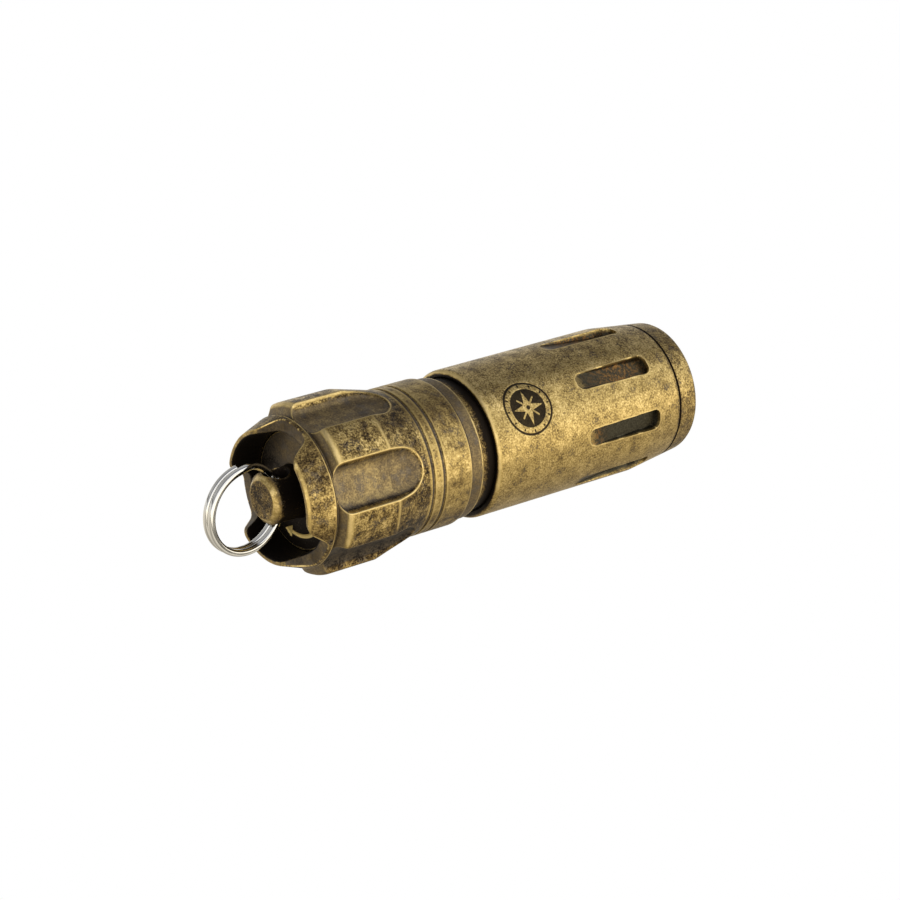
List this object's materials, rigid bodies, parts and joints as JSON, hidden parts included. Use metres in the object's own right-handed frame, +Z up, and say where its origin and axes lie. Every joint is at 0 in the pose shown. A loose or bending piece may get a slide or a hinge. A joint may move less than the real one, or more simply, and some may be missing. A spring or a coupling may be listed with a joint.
{
  "type": "keychain flashlight",
  "caption": "Small twist flashlight of antique brass: fluted tail crown with a split ring on a drilled post, and a pocketed head sleeve with a lens at the front.",
  "frame": {"origin": "on the long axis, near the middle of the head sleeve's plain land, 5.9 mm in front of the sleeve's rear mouth", "axes": "+X along the long axis out of the lens, +Z up, +Y to the left of someone looking along +X"},
  "size_m": [0.0596, 0.018, 0.018],
  "materials": {
    "antique_brass": "tumbled antique brass: worn bright edges, mottled brown-grey patina, dark recesses",
    "dark_brass": "antique brass under a thick dark brown patina, worn at its edges",
    "polished_steel": "polished spring steel",
    "window_glass": "clear coated glass",
    "clear_acrylic": "clear moulded acrylic",
    "silicone_lens": "clear silicone over yellow phosphor",
    "ceramic_white": "white ceramic",
    "black_rubber": "smooth black nitrile rubber",
    "aluminium_core": "white-masked aluminium-core board",
    "turned_brass": "plain turned brass",
    "green_board": "glass-fibre circuit board with green solder mask",
    "black_component": "moulded black epoxy",
    "tan_component": "tan ceramic with tinned ends",
    "gold_contact": "gold-plated brass",
    "grey_foam": "closed-cell foam",
    "red_insulation": "silicone wire insulation",
    "black_insulation": "silicone wire insulation",
    "nickel_steel": "nickel-plated steel",
    "blue_film": "shrink film",
    "grey_card": "insulating card"
  },
  "bodies": {
    "head": {"head_sleeve": "antique_brass", "bezel_ring": "antique_brass", "front_window": "window_glass", "window_seal": "black_rubber", "optic": "clear_acrylic", "led_gasket": "ceramic_white", "led_package": "ceramic_white", "led_dome": "silicone_lens", "led_board": "aluminium_core", "heat_spreader": "turned_brass", "driver_board": "green_board", "driver_chip": "black_component", "driver_inductor": "black_component", "driver_capacitors": "tan_component", "driver_retainer": "turned_brass", "positive_contact": "gold_contact", "foam_washer": "grey_foam", "positive_lead": "red_insulation", "negative_lead": "black_insulation"},
    "battery": {"battery_can": "nickel_steel", "battery_wrap": "blue_film", "battery_insulator": "grey_card", "battery_cap": "nickel_steel"},
    "tail": {"tail_crown": "antique_brass", "battery_tube": "dark_brass", "key_post": "dark_brass", "tail_contact": "gold_contact", "neck_o_ring": "black_rubber", "crown_o_ring": "black_rubber"},
    "ring": {"key_ring": "polished_steel"}
  },
  "joints": [
    {"name": "thread_advance", "type": "slide", "parent": "head", "child": "battery", "axis": [1, 0, 0], "range_m": [-0.0015, 0.00105]},
    {"name": "twist", "type": "hinge", "parent": "battery", "child": "tail", "pos_m": [0, 0, 0], "axis": [1, 0, 0], "range_deg": [-720, 504]},
    {"name": "ring_swing", "type": "hinge", "parent": "tail", "child": "ring", "pos_m": [-0.02835, 0, 0], "axis": [0, 0, 1], "range_deg": [-64, 56]}
  ],
  "couplings": [
    {"joint": "twist", "follows": "thread_advance", "rad_per_m": 8377.6}
  ]
}
